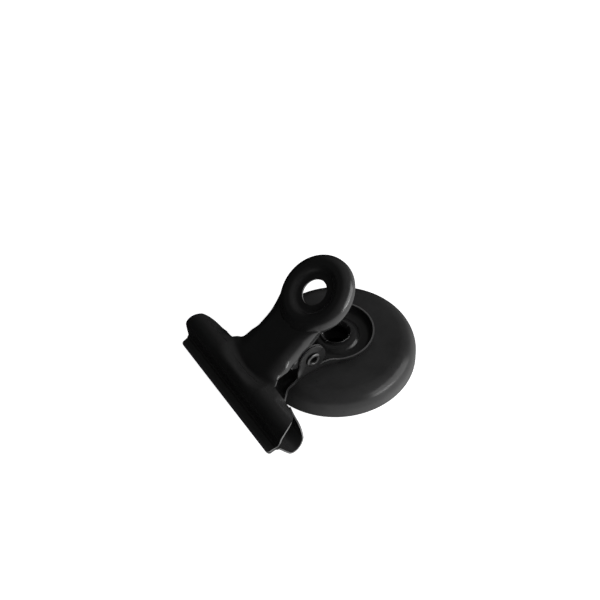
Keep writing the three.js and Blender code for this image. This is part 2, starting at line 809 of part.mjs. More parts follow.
const clip = new THREE.Group();
clip.position.set(pivotReach, 0, handlePlane + pivotDrop);
clip.rotation.y = mouthAngle;
clip.add(named('lower_leaf', mirrored(thicken(leafSurface(outerEarHalf), sheet)), finish.leaf));
clip.add(named('upper_leaf', thicken(leafSurface(innerEarHalf), sheet), finish.leaf));
clip.add(named('pivot_pin', pivotPin(), finish.rivet));
clip.add(named('torsion_spring', torsionSpring(), finish.spring));
assembly.add(clip);

// The origin lies under the middle of the overall box, on the magnet's face
assembly.updateMatrixWorld(true);
const box = new THREE.Box3().setFromObject(assembly, true);
assembly.position.x = -(box.min.x + box.max.x) / 2;

const part = new THREE.Group();
part.add(assembly);

export default part;
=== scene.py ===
# Ring-handled sheet clip on a round pot magnet.
# Shapes are worked out in millimetres with numpy and written to meshes in metres.
import math

import bmesh
import bpy
import numpy as np
from mathutils import Matrix, Vector


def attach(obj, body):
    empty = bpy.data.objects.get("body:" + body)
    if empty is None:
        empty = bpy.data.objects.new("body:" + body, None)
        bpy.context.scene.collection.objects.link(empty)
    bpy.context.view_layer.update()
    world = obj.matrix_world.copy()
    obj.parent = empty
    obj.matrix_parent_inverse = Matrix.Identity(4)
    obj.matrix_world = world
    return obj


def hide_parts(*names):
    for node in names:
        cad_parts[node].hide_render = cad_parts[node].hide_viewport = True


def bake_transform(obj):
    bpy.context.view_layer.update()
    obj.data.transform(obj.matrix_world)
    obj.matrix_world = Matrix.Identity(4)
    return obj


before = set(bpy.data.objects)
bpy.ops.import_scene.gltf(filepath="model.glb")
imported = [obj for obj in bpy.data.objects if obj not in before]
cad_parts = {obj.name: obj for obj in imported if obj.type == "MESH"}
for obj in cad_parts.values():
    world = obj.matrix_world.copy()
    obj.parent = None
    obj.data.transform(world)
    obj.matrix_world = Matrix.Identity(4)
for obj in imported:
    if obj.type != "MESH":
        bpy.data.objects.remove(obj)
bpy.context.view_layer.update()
print("frame loaded with nodes", ", ".join(sorted(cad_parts)))

mm = 0.001
discCentre = -7.9503         # magnet's axis in X
pivot = (6.7497, 17.5)       # pin's axis in X and Z
contactGap = 0.3
brokenEdge = 0.06
weldDistance = 2e-6          # metres
sliverLength = 1e-7          # metres


def smoothStep(x):
    # 0 below 0, 1 above 1, and three x squared minus two x cubed between
    t = np.clip(x, 0, 1)
    return t * t * (3 - 2 * t)


def mix(a, b, t):
    # a at 0, b at 1 and a straight line between
    return a + (b - a) * t


# ---- meshes from grids

def gridFaces(rows, columns, wrap=False):
    # quads of a grid numbered row by row, optionally closed along its columns
    index = np.arange(rows * columns).reshape(rows, columns)
    if wrap:
        index = np.concatenate([index, index[:, :1]], axis=1)
    corners = [index[:-1, :-1], index[:-1, 1:], index[1:, 1:], index[1:, :-1]]
    return np.stack(corners, axis=-1).reshape(-1, 4)


def newMesh(name, patches):
    # each patch is a grid of points (rows, columns, 3) in millimetres and whether its columns close
    points = np.concatenate([p.reshape(-1, 3) for p, _ in patches]) * mm
    offsets = np.cumsum([0] + [p.shape[0] * p.shape[1] for p, _ in patches[:-1]])
    faces = np.concatenate([gridFaces(*p.shape[:2], w) + o for (p, w), o in zip(patches, offsets)])
    mesh = bpy.data.meshes.new(name)
    mesh.from_pydata(points.tolist(), [], faces.tolist())
    work = bmesh.new()
    work.from_mesh(mesh)
    bmesh.ops.remove_doubles(work, verts=work.verts, dist=weldDistance)
    bmesh.ops.dissolve_degenerate(work, edges=work.edges, dist=sliverLength)
    bmesh.ops.recalc_face_normals(work, faces=work.faces)
    work.to_mesh(mesh)
    work.free()
    mesh.shade_smooth()
    piece = bpy.data.objects.new(name, mesh)
    bpy.context.scene.collection.objects.link(piece)
    return piece


def turnedMesh(name, outline, steps, along="z", centre=(0, 0, 0), radial=None):
    # a closed outline of (radius, height) carried round an axis: the radius times cosine and sine
    # of the turn, the height along the axis; radial can redraw both by angle
    outline = np.array(outline + outline[:1], float)
    turn = np.linspace(0, 2 * np.pi, steps, endpoint=False)[None, :]
    radius, height = outline[:, :1] + 0 * turn, outline[:, 1:] + 0 * turn
    if radial:
        radius, height = radial(radius, height, turn + 0 * radius)
    across, other = radius * np.cos(turn), radius * np.sin(turn)
    if along == "z":
        points = np.stack([across, other, height], axis=-1)
    else:
        points = np.stack([across, height, other], axis=-1)
    return newMesh(name, [(points + np.array(centre), True)])


def arcPoints(centreR, centreZ, radius, start, end, steps):
    # centre plus radius times cosine and sine, between two angles in degrees
    angle = np.radians(np.linspace(start, end, steps))
    across, up = centreR + radius * np.cos(angle), centreZ + radius * np.sin(angle)
    return np.stack([across, up], axis=-1).tolist()


def quadratic(a, b, c, t):
    # curve from a to c pulled towards b: one less t squared, twice t times one less t, t squared
    return (1 - t) ** 2 * a + 2 * t * (1 - t) * b + t * t * c


def softLine(corners, steps=14):
    # straight runs between (x, y, cut) corners, each a quadratic that starts cut away from it
    line = [np.array([corners[0][:2]])]
    for i in range(1, len(corners) - 1):
        here = np.array(corners[i][:2])
        before = np.array(corners[i - 1][:2]) - here
        after = np.array(corners[i + 1][:2]) - here
        before = here + before / np.linalg.norm(before) * corners[i][2]
        after = here + after / np.linalg.norm(after) * corners[i][2]
        line.append(quadratic(before, here, after, np.linspace(0, 1, steps)[:, None]))
    line.append(np.array([corners[-1][:2]]))
    return np.concatenate(line)


def lineLength(line):
    # running sum of the distances between neighbouring points
    return np.concatenate([[0], np.cumsum(np.linalg.norm(np.diff(line, axis=0), axis=1))])


def finishEdges(piece, width, angle=50):
    # a small bevel on every edge that turns by more than the angle in degrees
    bevel = piece.modifiers.new("softEdge", "BEVEL")
    bevel.width = width * mm
    bevel.segments = 2
    bevel.limit_method = "ANGLE"
    bevel.angle_limit = math.radians(angle)
    bevel.harden_normals = True
    return piece


# ---- pressed leaves

leaf = {
    "sheet": 0.5,
    "mouthAngle": 16.25,
    "ringDiameter": 24,
    "ringHole": 8.05,
    "ringDepth": 3.27,
    "floorDepth": 1.12,
    "floorDiameter": 12.3,
    "slopeRun": 1.35,
    "slopeCut": 0.62,
    "crestRound": 2.42,
    "neckWidth": 18,
    "cornerRun": 3.3,
    "cornerDrop": 3.3,
    "cornerSettle": 4.5,
    "widthSettle": 2.75,
    "neckFillet": 5,
    "neckLean": 0.4,
    "leanStart": 1,
    "neckFlare": 0.8,
    "flareLength": 3.5,
    "flareLead": 1.2,
    "flangeDepth": 3.1,
    "flangeRunOut": 9.2,
    "openingPower": 1.5,
    "openingLeast": 0.004,
    "notchDepth": 3.75,
    "notchSettle": 3,
    "notchRunOut": 5,
    "notchStart": 1,
    "pivotReach": 14.7,
    "pivotDrop": 5.93,
    "earRadius": 4.4,
    "earRoot": 0.3,
    "earFlare": 2.1,
    "earHole": 3.6,
    "jawWidth": 53.85,
    "lipReach": 27.095,
    "lipLength": 2.7,
    "lipCurl": 0.14,
    "stepRise": 0.3,
    "stepRun": 0.75,
    "bulgeReach": 18.57,
    "bulgeHalfLength": 3.82,
    "bulgeHeight": 5.7,
    "bulgeCrown": 2.5,
    "bulgeMeets": (0.951, 0.309),    # where the slope meets the bulge, in its half length and crown
    "bulgeTurns": (0.1, 0.94),       # half turns
    "rearReach": 28.05,
    "rearDepth": 1.5,
    "endRound": 9.5,
    "lipInset": 1.8,
    "insetStart": 1.2,
    "insetRun": 6.8,
    "lipCorner": 1.1,
    "filletLength": 5,
    "filletWidth": 7,
    "filletPower": 1.8,
    "foldGap": 1e-9,                 # the neck's own formula stops this short of the fold
    "foldRound": 1.3,
    "foldRoundSide": 2.4,
    "foldBow": 2,
    "foldBowHalf": 10.5,
    "foldBowRun": 5.5,
    "rearTurn": 5,
    "rearHang": 5.5,
    "rearCorner": 1.0,
    "roundOver": 2.4,
    "valleyShare": 0.6,
    "paintedEdge": 0.13,
}
leafGrid = {                  # steps of each part of the grids, and where they change
    "bulge": 80,
    "bend": 20,
    "stations": 12,
    "stationLean": 0.35,      # towards closer stations at the ring
    "rowsPerStation": 6,
    "fold": 22,
    "foldBack": 2.5,
    "back": 44,
    "heelMargin": 0.4,
    "step": 20,
    "stepMargin": 0.5,
    "lip": 6,
    "lipCorner": 8,
    "join": 28,
    "wall": 5,
    "wing": 30,
    "wingLean": 1.6,
    "section": 22,
    "behind": 121,
    "crest": 14,
    "lobe": 110,
    "earRings": 13,
}
alpha = math.radians(leaf["mouthAngle"])
sheetHalf = leaf["sheet"] / 2
crest = leaf["ringDepth"] - sheetHalf
web = crest - leaf["floorDepth"]
ringRadius = leaf["ringDiameter"] / 2 - sheetHalf
roundOverFoot = crest - leaf["roundOver"]
jawFace = contactGap / 2 + sheetHalf
rear = leaf["rearReach"]


def channel(q, half, run, drop):
    # flat top, quarter ellipse, upright wall: (distance across, fall) at a length q over the sheet
    quarter = np.pi / 2 * np.sqrt((run**2 + drop**2) / 2)
    past = q - (half - run)
    turn = np.clip(past / quarter, 0, 1) * np.pi / 2
    across = np.where(past < 0, q, half - run + run * np.sin(turn))
    return across, drop * (1 - np.cos(turn)) + np.maximum(past - quarter, 0)


def channelReach(depth, half, run, drop):
    # length across the sheet at which the section has fallen by depth
    quarter = np.pi / 2 * np.sqrt((run**2 + drop**2) / 2)
    curved = np.arccos(1 - np.minimum(depth / drop, 1)) / (np.pi / 2) * quarter
    return half - run + curved + np.maximum(depth - drop, 0)


def makeJawLine():
    # lip, step and bulge from the lip's edge to the rear edge, as (a, h) against length: the front
    # is a soft line and the bulge an ellipse, both turned by the mouth's angle
    heel = leaf["lipReach"] - leaf["lipLength"]
    middle = leaf["bulgeHeight"] - leaf["bulgeCrown"]
    front = softLine([
        (leaf["lipReach"], jawFace + leaf["lipCurl"]),
        (leaf["lipReach"] - leaf["lipLength"] / 3, jawFace, leaf["lipLength"] / 6),
        (heel, jawFace, leaf["lipLength"] / 10),
        (heel - leaf["stepRun"] / 3, jawFace + leaf["stepRise"], leaf["stepRun"] / 4),
        (heel - leaf["stepRun"], jawFace + leaf["stepRise"], leaf["stepRun"] / 3),
        (leaf["bulgeReach"] + leaf["bulgeHalfLength"] * leaf["bulgeMeets"][0],
         middle + leaf["bulgeCrown"] * leaf["bulgeMeets"][1]),
    ])
    angle = np.pi * np.linspace(*leaf["bulgeTurns"], leafGrid["bulge"])
    bulge = np.stack([leaf["bulgeReach"] + leaf["bulgeHalfLength"] * np.cos(angle),
                      middle + leaf["bulgeCrown"] * np.sin(angle)], axis=-1)
    u, w = np.concatenate([front, bulge]).T
    a = leaf["pivotReach"] + u * math.cos(alpha) - w * math.sin(alpha)
    h = u * math.sin(alpha) + w * math.cos(alpha) - leaf["pivotDrop"]
    top = min(h[-1] - leaf["foldRound"], web + leaf["foldRound"])
    t = np.linspace(0, 1, leafGrid["bend"])[1:]
    a, h = (np.concatenate([a, quadratic(a[-1], rear, rear, t), [rear]]),
            np.concatenate([h, quadratic(h[-1], h[-1], top, t), [web - leaf["rearDepth"]]]))
    return lineLength(np.stack([a, h], axis=-1)), a, h


jawAlong, jawA, jawH = makeJawLine()
jawLength = jawAlong[-1]
jawToWeb = jawLength - leaf["rearDepth"]


def jawPlace(s):
    # (a, h) at a length along the jaw line, straight down past its end
    over = np.maximum(s - jawLength, 0)
    return np.interp(s, jawAlong, jawA), np.interp(s, jawAlong, jawH) - over


def roundInset(radius, into):
    # an edge drawn in by the radius less the root of radius squared minus distance squared
    return radius - np.sqrt(radius**2 - np.clip(into, 0, radius) ** 2)


def jawHalfWidth(s):
    # half the blank's width: drawn in towards the lip, round corners at the lip and the rear edge
    inset = leaf["lipInset"] * (1 - smoothStep((s - leaf["insetStart"]) / leaf["insetRun"]))
    corners = roundInset(leaf["lipCorner"], leaf["lipCorner"] - s)
    corners = corners + roundInset(leaf["endRound"], s - jawLength + leaf["endRound"])
    return leaf["jawWidth"] / 2 - inset - corners


def cornerRise(x):
    # superellipse quarter from 0 to 1, steepest at its end
    power = leaf["filletPower"]
    return 1 - (1 - np.clip(x, 0, 1) ** power) ** (1 / power)


def foldShift(v):
    # the fold bows towards the jaw as a parabola across the neck
    return leaf["foldBow"] * np.maximum(0, 1 - (v / leaf["foldBowHalf"]) ** 2)


def makeLeaf(name, half, upper):
    # one sheet of grids: neck with jaw strip, jaw ends, ring handle and ears, then made thick;
    # a runs from the ring's centre to the jaw, v across the neck and h up from the ring's open side
    run, drop, depth = leaf["cornerRun"], leaf["cornerDrop"], leaf["flangeDepth"]
    reach = leaf["pivotReach"]
    middle = math.sqrt((ringRadius + leaf["neckFillet"]) ** 2 - (half + leaf["neckFillet"]) ** 2)
    joinAngle = math.atan2(half + leaf["neckFillet"], middle)
    joinHalf = ringRadius * math.sin(joinAngle)
    joinDrop = web - roundOverFoot
    joinShare = (channelReach(joinDrop, joinHalf, run, joinDrop)
                 / channelReach(web, joinHalf, run, joinDrop))
    flangeEdge = channel(channelReach(depth, half, run, drop), half, run, drop)[0]
    flat = half - run
    runOut = rear - leaf["flangeRunOut"]
    ringBow = ringRadius * (1 - math.cos(joinAngle))

    def flareAt(a):
        # the neck's flare grows as a smooth step over its length
        begun = a - runOut + leaf["flareLead"]
        return leaf["neckFlare"] * smoothStep(begun / leaf["flareLength"])

    def neckPlace(share, a):
        # the channel's section changes along the neck: ring join, ears, opening arch, wide fillet
        past = a - ringRadius
        lead = smoothStep((past - leaf["leanStart"]) / (runOut - ringRadius - leaf["leanStart"]))
        narrow = mix(joinHalf, half, np.clip(past / leaf["widthSettle"], 0, 1))
        notch = smoothStep((a - reach - leaf["notchStart"]) / leaf["notchRunOut"])
        wall = mix(leaf["notchDepth"], depth, notch)
        opened = np.clip((a - runOut) / (leaf["flangeRunOut"] - leaf["foldRound"]), 0, 1)
        closing = np.maximum(leaf["openingLeast"], 1 - opened ** leaf["openingPower"])
        fillet = leaf["filletWidth"] * cornerRise(1 + (a - rear) / leaf["filletLength"])
        widen = (flangeEdge + flareAt(a) + fillet - flat) / (flangeEdge - flat)
        rowHalf = flat + (narrow - flat) * widen
        rowDrop = mix(joinDrop, drop, smoothStep(past / leaf["cornerSettle"])) * closing
        rowEdge = mix(web, wall, smoothStep(past / leaf["notchSettle"])) * closing
        across = channelReach(rowEdge, rowHalf, run * widen, rowDrop)
        v, fall = channel(share * across, rowHalf, run * widen, rowDrop)
        turn = np.minimum(1, share / joinShare) * joinAngle
        bow = ringBow * (1 - lead) ** 2 * (1 - np.cos(turn)) / (1 - math.cos(joinAngle))
        return a + lead * fall * leaf["neckLean"] - bow, v, web - fall

    joinEdge = float(neckPlace(1.0, np.float64(rear - leaf["rearCorner"]))[1])

    def foldPlace(x, v, cut, flap):
        # quadratic bend from the jaw's rear wall through the fold line to a point on the flap
        shift, onJaw = foldShift(v), np.minimum(x, -cut)
        jawX, jawZ = jawPlace(jawToWeb + onJaw)
        jawX = jawX + shift * smoothStep(1 + (onJaw + cut) / leaf["foldBowRun"])
        t = np.clip((x + cut) / (2 * cut), 0, 1)
        return (quadratic(jawX, rear + shift, flap[0], t), quadratic(v, v, flap[1], t),
                quadratic(jawZ, web, flap[2], t))

    def foldCut(share):
        # the bend's reach on each side of the fold grows from the middle to the neck's edge
        return mix(leaf["foldRound"], leaf["foldRoundSide"], smoothStep(share))

    def webPlace(share, x):
        # the neck at x before the fold, drawn towards the jaw by the fold's bow, which fades away
        a, v, h = neckPlace(share, np.minimum(rear - x, rear - leaf["foldGap"]))
        fade = smoothStep(1 - (x - foldCut(share)) / leaf["foldBowRun"])
        return a + foldShift(v) * fade, v, h

    def stripPlace(share, x):
        # the neck up to the bend, then the bend and the jaw
        cut = foldCut(share)
        v = neckPlace(share, rear - leaf["rearCorner"] + 0 * x)[1]
        onFold = foldPlace(x, v, cut, webPlace(share, cut + 0 * x))
        return [np.where(x >= cut, n, f) for n, f in zip(webPlace(share, x), onFold)]

    def wingPlace(v, x):
        # beside the neck the flap turns from the web's direction to hanging straight down
        cut = leaf["foldRoundSide"]
        turn = np.pi / 2 * smoothStep((v - joinEdge) / leaf["rearTurn"])
        away = [float(c) for c in neckPlace(1.0, np.float64(rear - cut))]
        flap = (rear - cut * np.cos(turn), v + (away[1] - joinEdge) * np.cos(turn),
                web - cut * np.sin(turn) - (web - away[2]) * np.cos(turn))
        return foldPlace(x, v, cut, flap)

    def rearEdge(v):
        # depth of the rear edge across the jaw: what is left of the fillet, then the hanging edge
        outer = flangeEdge + leaf["neckFlare"] + leaf["filletWidth"]
        rest = leaf["filletLength"] * cornerRise((outer - v) / leaf["filletWidth"])
        cornerRest = leaf["filletLength"] * cornerRise((outer - joinEdge) / leaf["filletWidth"])
        hang = leaf["rearDepth"] * smoothStep((v - joinEdge) / leaf["rearHang"])
        return rest + leaf["rearCorner"] - cornerRest + hang

    def toWorld(a, v, h):
        # turned by the mouth's angle about the pin, mirrored for the lower leaf, turned to level
        along, rise = a - reach, h + leaf["pivotDrop"]
        u = along * math.cos(alpha) + rise * math.sin(alpha)
        w = -along * math.sin(alpha) + rise * math.cos(alpha)
        w = w if upper else -w
        x = pivot[0] + u * math.cos(alpha) + w * math.sin(alpha)
        z = pivot[1] - u * math.sin(alpha) + w * math.cos(alpha)
        return np.stack(np.broadcast_arrays(x, v, z), axis=-1)

    # rows: the coarse stations of the neck fix where the ears begin and end
    coarse = np.arange(leafGrid["stations"]) / leafGrid["stations"]
    spacing = mix(coarse, 1 - (1 - coarse) ** 2, leafGrid["stationLean"])
    stations = np.append(mix(rear - ringRadius, leaf["rearCorner"], spacing), leaf["rearCorner"])
    edgeA = neckPlace(1.0, rear - stations)[0]
    held = ((edgeA > reach - leaf["earRadius"] - leaf["earRoot"])
            & (edgeA < reach + leaf["earRadius"] + leaf["earFlare"]))
    earStart, earEnd = np.flatnonzero(held)[[0, -1]]
    finer = leafGrid["rowsPerStation"]
    cornerRow = (len(stations) - 1) * finer
    rowsX = np.interp(np.arange(cornerRow + 1) / finer, np.arange(len(stations)), stations)
    heel = leaf["lipLength"] + leaf["stepRun"] + leafGrid["heelMargin"]
    toe = leaf["lipLength"] - leafGrid["stepMargin"]
    quarter = np.linspace(0, np.pi / 2, leafGrid["lipCorner"])[1:]
    foldX = np.linspace(leaf["rearCorner"], -leafGrid["foldBack"], leafGrid["fold"])[1:]
    backX = np.linspace(-leafGrid["foldBack"], heel - jawToWeb, leafGrid["back"])[1:]
    stepX = np.linspace(heel, toe, leafGrid["step"])[1:] - jawToWeb
    lipX = np.concatenate([np.linspace(toe, leaf["lipCorner"], leafGrid["lip"])[1:],
                           leaf["lipCorner"] * (1 - np.sin(quarter))]) - jawToWeb
    rowsX = np.concatenate([rowsX, foldX, backX, stepX, lipX])

    joinSteps, wallSteps = leafGrid["join"], leafGrid["wall"]
    shares = np.concatenate([np.linspace(0, joinShare, joinSteps + 1),
                             np.linspace(joinShare, 1, wallSteps + 1)[1:]])
    a, v, h = stripPlace(shares[None, :], rowsX[:, None])
    halfGrid = toWorld(a, v, h)
    mirrorY = np.array([1, -1, 1])
    strip = np.concatenate([halfGrid[:, :0:-1] * mirrorY, halfGrid], axis=1)
    patches = [(strip, False)]

    # jaw beyond the strip, out to the rounded ends
    spread = np.linspace(0, 1, leafGrid["wing"] + 1)[None, :] ** leafGrid["wingLean"]
    wingX = rowsX[cornerRow:, None]
    v = mix(joinEdge, jawHalfWidth(jawToWeb + wingX), spread)
    back = np.where(wingX > 0, wingX / leaf["rearCorner"] * rearEdge(v), wingX)
    v = mix(joinEdge, jawHalfWidth(jawToWeb + back), spread)
    wing = toWorld(*wingPlace(v, back))
    wing[:, 0] = halfGrid[cornerRow:, -1]
    patches += [(wing, False), (wing * mirrorY, False)]

    # ring handle from the hole over the sunk floor and the crest to the round-over
    floor, slope = leaf["floorDiameter"] / 2, leaf["slopeRun"]
    section = softLine([
        (leaf["ringHole"] / 2, web),
        (floor, web, leaf["slopeCut"]),
        (floor + slope, crest, leaf["slopeCut"]),
        (ringRadius - leaf["crestRound"], crest),
    ])
    along = lineLength(section)
    pick = np.linspace(0, along[-1], leafGrid["section"])
    innerR, innerH = np.interp(pick, along, section[:, 0]), np.interp(pick, along, section[:, 1])
    ahead = np.concatenate([-shares[joinSteps:0:-1], shares[: joinSteps + 1]])
    aheadAngle = ahead / joinShare * joinAngle
    behindAngle = np.linspace(joinAngle, 2 * np.pi - joinAngle, leafGrid["behind"])
    t = np.sin(np.linspace(0, np.pi / 2, leafGrid["crest"]))[1:]

    def ringPatch(angle, foot, edge):
        # the crest falls as a quarter circle, and over the neck as a smooth step down to the web
        turn = np.abs(np.where(angle > np.pi, angle - 2 * np.pi, angle))[:, None]
        valley = smoothStep((joinAngle - turn) / (joinAngle * leaf["valleyShare"]))
        fall = mix(1 - np.sqrt(np.maximum(0, 1 - t**2))[None, :], smoothStep(t)[None, :], valley)
        radius = np.concatenate([innerR, ringRadius - leaf["crestRound"] * (1 - t)])[None, :]
        outerH = crest - (crest - foot[:, None]) * fall
        height = np.concatenate([innerH[None, :] + 0 * turn, outerH], axis=1)
        grid = toWorld(radius * np.cos(angle)[:, None], radius * np.sin(angle)[:, None], height)
        if edge is not None:
            grid[:, -1] = edge
        return grid

    joinRow = stripPlace(np.abs(ahead), np.full(len(ahead), rear - ringRadius))
    behindFoot = np.full(len(behindAngle), roundOverFoot)
    patches.append((ringPatch(aheadAngle, joinRow[2], strip[0, wallSteps:-wallSteps]), False))
    patches.append((ringPatch(behindAngle, behindFoot, None), False))
    down = np.linspace(1, 0, wallSteps + 1)[None, :] * roundOverFoot
    wallA = ringRadius * np.cos(behindAngle)[:, None]
    wallV = ringRadius * np.sin(behindAngle)[:, None]
    patches.append((toWorld(wallA, wallV, down), False))

    # ears: grids between the outline of the lobe and the pin's hole
    def earHalf(a, h):
        # half the distance between the ears: the channel's own, with the flare fading downwards
        fall = web + leaf["pivotDrop"] - h
        settled = smoothStep((fall - depth) / depth)
        section = channel(channelReach(fall, half, run, drop), half, run, drop)[0]
        return section + flareAt(a + reach) * (1 - settled)

    edgeX = rowsX[earStart * finer: earEnd * finer + 1]
    baseA, _, baseH = neckPlace(1.0, rear - edgeX)
    baseA, baseH = baseA - reach, baseH + leaf["pivotDrop"]
    rearAngle, frontAngle = math.atan2(baseH[0], baseA[0]), math.atan2(baseH[-1], baseA[-1])
    rearReach, frontReach = math.hypot(baseA[0], baseH[0]), math.hypot(baseA[-1], baseH[-1])
    sweep = 2 * math.pi - (rearAngle - frontAngle)
    angle = frontAngle - sweep * np.arange(1, leafGrid["lobe"]) / leafGrid["lobe"]
    rise = np.maximum(np.sin(angle), 0)
    towards = np.where(np.cos(angle) > 0, frontReach, rearReach)
    foot = np.where(np.cos(angle) > 0, math.sin(frontAngle), math.sin(rearAngle))
    lobe = mix(leaf["earRadius"], towards, (rise / foot) ** 2)
    loopA = np.concatenate([baseA, lobe * np.cos(angle)])
    loopH = np.concatenate([baseH, lobe * np.sin(angle)])
    shrink = np.linspace(0, 1, leafGrid["earRings"])[:, None]
    scale = mix(1, leaf["earHole"] / 2 / np.hypot(loopA, loopH)[None, :], shrink)
    earA, earH = loopA * scale, loopH * scale
    ear = toWorld(earA + reach, earHalf(earA, earH), earH - leaf["pivotDrop"])
    ear[0, : len(baseA)] = halfGrid[earStart * finer: earEnd * finer + 1, -1]
    patches += [(ear, True), (ear * mirrorY, True)]

    piece = newMesh(name, patches)
    wall = piece.modifiers.new("sheet", "SOLIDIFY")
    wall.thickness = leaf["sheet"] * mm
    wall.offset = 0
    wall.use_even_offset = False
    wall.use_quality_normals = True
    # rim faces take the second finish, whose lighter colour is partly worn paint and partly a
    # painted highlight
    wall.material_offset = 2
    wall.material_offset_rim = 1
    return finishEdges(piece, leaf["paintedEdge"])


innerEar = leaf["neckWidth"] / 2 - sheetHalf
outerEar = innerEar + leaf["sheet"] + contactGap
lowerLeaf = makeLeaf("lowerLeafSheet", outerEar, False)
upperLeaf = makeLeaf("upperLeafSheet", innerEar, True)
print("leaves pressed:", len(lowerLeaf.data.polygons), len(upperLeaf.data.polygons), "quads")

# ---- pot magnet

magnet = {
    "diameter": 50,
    "height": 8,
    "cupWall": 1,
    "edgeRound": 5.2,
    "footRound": 0.35,
    "ringDiameter": 43,
    "ringBore": 13,
    "ringChamfer": 1,
    "ringBreak": 0.25,
    "shadeMargin": 0.2,
    "flatInset": 1,
    "steps": 220,
    "footSteps": 5,
    "edgeSteps": 30,
    "flatSteps": 12,
    "insideSteps": 20,
    "ringSteps": 160,
}
discFoot = (discCentre, 0, 0)


def paintBoreShade(piece, radius, top):
    # faces near the disc's axis and below the top take the second finish, a painted shade in the
    # bore
    middle = np.empty(len(piece.data.polygons) * 3)
    piece.data.polygons.foreach_get("center", middle)
    x, y, z = middle.reshape(-1, 3).T / mm
    deep = (np.hypot(x - discCentre, y) < radius) & (z < top)
    piece.data.polygons.foreach_set("material_index", deep.astype(np.int32))


def makeCup():
    # rim, wall, rolled edge and flat top outside, then the same line one wall inside
    radius, inside = magnet["diameter"] / 2, magnet["edgeRound"] - magnet["cupWall"]
    middleR, middleZ = radius - magnet["edgeRound"], magnet["height"] - magnet["edgeRound"]
    foot, hole = magnet["footRound"], rivet["diameter"] / 2 + rivet["clearance"]
    rings = np.linspace(middleR - magnet["flatInset"], hole, magnet["flatSteps"])
    outline = (
        arcPoints(radius - foot, foot, foot, -90, 0, magnet["footSteps"])
        + arcPoints(middleR, middleZ, magnet["edgeRound"], 0, 90, magnet["edgeSteps"])
        + [[r, magnet["height"]] for r in rings]
        + [[hole, magnet["height"] - magnet["cupWall"]]]
        + arcPoints(middleR, middleZ, inside, 90, 0, magnet["insideSteps"])
        + [[radius - magnet["cupWall"], 0]]
    )
    return turnedMesh("magnetCupShell", outline, magnet["steps"], centre=discFoot)


def makeFerrite():
    # a square section with a chamfer that clears the cup's edge and two broken corners at its face
    radius, top = magnet["ringDiameter"] / 2, magnet["height"] - magnet["cupWall"] - contactGap
    bore, cut, small = magnet["ringBore"] / 2, magnet["ringChamfer"], magnet["ringBreak"]
    outline = [[radius - small, 0], [radius, small], [radius, top - cut], [radius - cut, top],
               [bore, top], [bore, small], [bore + small, 0]]
    piece = turnedMesh("ferriteRing", outline, magnet["ringSteps"], centre=discFoot)
    # the bore's inside faces take a painted shade
    paintBoreShade(piece, bore + magnet["shadeMargin"], magnet["height"])
    return piece


# ---- tubular rivet with a split flare

rivet = {
    "diameter": 7.7,
    "wall": 0.5,
    "clearance": 0.25,
    "flareDiameter": 9.6,
    "flareRise": 0.75,
    "footDiameter": 11.2,
    "splits": 7,
    "splitStart": 0.4,
    "splitHalfAngle": 0.03,      # radians
    "splitDepth": 0.55,
    "splitDrop": 0.25,
    "splitPower": 0.7,
    "tipRise": 1.2,
    "lipRound": 0.14,
    "lipCentre": (0.13, 0.07),    # in from the flare's edge and down from its rim
    "lipSweep": (-10, 150, 9),    # degrees and steps
    "outsideLine": [              # base radius, outwards, base height, up, cut
        ("outer", 0, "footTop", 0),
        ("outer", 0, "flareFoot", -0.1, 0.35),
        ("outer", 0.45, "flareFoot", 0.12, 0.3),
        ("out", 0, "rim", -0.2),
    ],
    "insideLine": [
        ("out", -0.3, "rim", -0.1),
        ("outer", 0.1, "rim", -0.42, 0.35),
        ("inner", 0, "flareFoot", -0.6, 0.45),
        ("inner", 0, "footTop", -0.2, 0.2),
        ("inner", 0.4, "footUnder", 0, 0.15),
        ("footEdge", 0, "footUnder", 0),
    ],
    "lineSteps": 8,
    "uneven": ((0.03, 3, 0.7), (0.02, 11, 0)),    # share, waves round the rim, phase
    "shadeMargin": 0.15,
    "steps": 420,
}


def makeRivet():
    # outside of the tube and flare, rounded lip, then the flare's inside, the bore and the foot
    sheetTop = magnet["height"] + contactGap + leaf["ringDepth"] - web + sheetHalf
    flareFoot = sheetTop + contactGap / 2
    footTop = magnet["height"] - magnet["cupWall"] - contactGap
    outer, out = rivet["diameter"] / 2, rivet["flareDiameter"] / 2
    inner, footEdge = outer - rivet["wall"], rivet["footDiameter"] / 2
    rim = flareFoot + rivet["flareRise"]
    bases = {"outer": outer, "inner": inner, "out": out, "footEdge": footEdge, "rim": rim,
             "flareFoot": flareFoot, "footTop": footTop, "footUnder": footTop - rivet["wall"]}

    def profile(rows):
        # soft line through points measured from the named radii and heights
        corners = [(bases[r] + across, bases[z] + up, *cut) for r, across, z, up, *cut in rows]
        return softLine(corners, rivet["lineSteps"]).tolist()

    lipIn, lipDown = rivet["lipCentre"]
    lip = arcPoints(out - lipIn, rim - lipDown, rivet["lipRound"], *rivet["lipSweep"])
    outline = profile(rivet["outsideLine"]) + lip + profile(rivet["insideLine"])
    outline.append([footEdge, footTop])

    def splitFlare(radius, height, turn):
        # near each split the flare's rim is drawn back towards the tube, most at its tip
        phase = turn * rivet["splits"] / (2 * np.pi) - rivet["splitStart"]
        away = np.abs(phase - np.round(phase)) * 2 * np.pi / rivet["splits"]
        tip = smoothStep((height - flareFoot) / rivet["flareRise"] * rivet["tipRise"])
        notch = tip * np.clip(1 - away / rivet["splitHalfAngle"], 0, 1) ** rivet["splitPower"]
        uneven = sum(size * np.sin(waves * turn + phase) for size, waves, phase in rivet["uneven"])
        radius = radius - rivet["splitDepth"] * notch + uneven * tip * (radius - outer)
        return radius, height - rivet["splitDrop"] * notch

    piece = turnedMesh("splitRivet", outline, rivet["steps"], centre=discFoot, radial=splitFlare)
    # the bore's inside faces below the flare take a painted shade
    paintBoreShade(piece, inner + rivet["shadeMargin"], flareFoot - rivet["shadeMargin"])
    return piece


